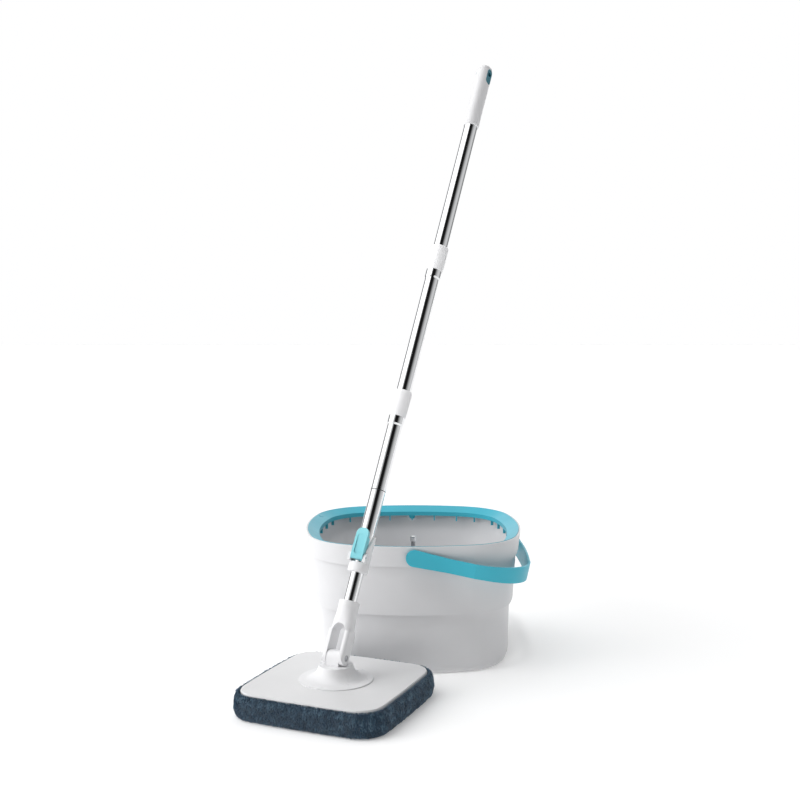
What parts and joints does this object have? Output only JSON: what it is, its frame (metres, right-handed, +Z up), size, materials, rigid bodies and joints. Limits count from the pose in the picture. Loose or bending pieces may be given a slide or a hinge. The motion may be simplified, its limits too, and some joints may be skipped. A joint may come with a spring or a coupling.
{
  "type": "spin mop",
  "caption": "Flat spin mop with a square pad, a leaning telescopic press-to-spin pole and a stepped rounded-square bucket with a spindle, rim ring and carrying handle.",
  "frame": {"origin": "centre of the bucket's underside, on the floor", "axes": "+Z up, -Y towards the mop's side of the bucket, +X towards the side the carrying handle hangs on"},
  "size_m": [0.4898, 0.6772, 1.0691],
  "materials": {
    "white_plastic": "satin moulded",
    "teal_plastic": "satin moulded",
    "aqua_plastic": "satin moulded",
    "eye_plastic": "satin moulded",
    "grey_plastic": "matte",
    "black_plastic": "matte",
    "chrome_tube": "polished",
    "steel": "plain",
    "microfibre": "deep pile",
    "hook_sheet": "hook sheet"
  },
  "bodies": {
    "bucket": {"bucket_shell": "white_plastic", "rim_ring": "teal_plastic", "spindle_base": "white_plastic", "base_screws": "steel", "spindle_bearing": "grey_plastic"},
    "spindle": {"spindle": "steel", "spindle_cap": "chrome_tube", "spindle_collar": "steel"},
    "bail": {"bail_handle": "teal_plastic", "bail_clips": "white_plastic"},
    "head": {"mop_plate": "white_plastic", "hub_socket": "grey_plastic", "pad_backing": "hook_sheet", "microfibre_pad": "microfibre", "pivot_boss": "white_plastic", "boss_screws": "steel"},
    "shaft": {"yoke": "white_plastic", "yoke_pin": "steel", "lower_shaft": "chrome_tube", "drive_nut": "grey_plastic"},
    "glide": {"glide_ring": "grey_plastic"},
    "handle": {"lock_collar": "white_plastic", "lever_pin": "steel", "outer_sleeve": "chrome_tube", "seam_ring": "black_plastic", "tube_middle": "chrome_tube", "tube_upper": "chrome_tube", "coupler_lower": "white_plastic", "coupler_upper": "white_plastic", "twisted_strip": "steel", "strip_anchor": "grey_plastic", "grip": "white_plastic", "grip_insert": "eye_plastic"},
    "lever": {"lock_lever": "aqua_plastic"}
  },
  "joints": [
    {"name": "spindle_spin", "type": "hinge", "parent": "bucket", "child": "spindle", "pos_m": [0, 0, 0.1], "axis": [0, 0, 1], "continuous": true},
    {"name": "bail_swing", "type": "hinge", "parent": "bucket", "child": "bail", "pos_m": [0, 0, 0.208], "axis": [0, -1, 0], "range_deg": [0, 103]},
    {"name": "mop_lift", "type": "slide", "parent": "bucket", "child": "head", "axis": [-0.059, -0.118, 0.9913], "range_m": [0, 0.35]},
    {"name": "pole_tilt", "type": "hinge", "parent": "head", "child": "shaft", "pos_m": [-0.1255, -0.3196, 0.078], "axis": [0.847, -0.5316, 0], "range_deg": [-9, 106]},
    {"name": "press_stroke", "type": "slide", "parent": "shaft", "child": "glide", "axis": [0.2361, 0.3763, 0.8959], "range_m": [-0.045, 0.1]},
    {"name": "drive_turn", "type": "hinge", "parent": "glide", "child": "handle", "pos_m": [-0.09008, -0.26316, 0.21239], "axis": [0.2361, 0.3763, 0.8959], "range_deg": [-204, 452]},
    {"name": "lever_flip", "type": "hinge", "parent": "handle", "child": "lever", "pos_m": [-0.09316, -0.27358, 0.22874], "axis": [0.9168, -0.3917, -0.0771], "range_deg": [0, 70]}
  ],
  "couplings": [
    {"joint": "drive_turn", "follows": "press_stroke", "rad_per_m": 78.54}
  ]
}
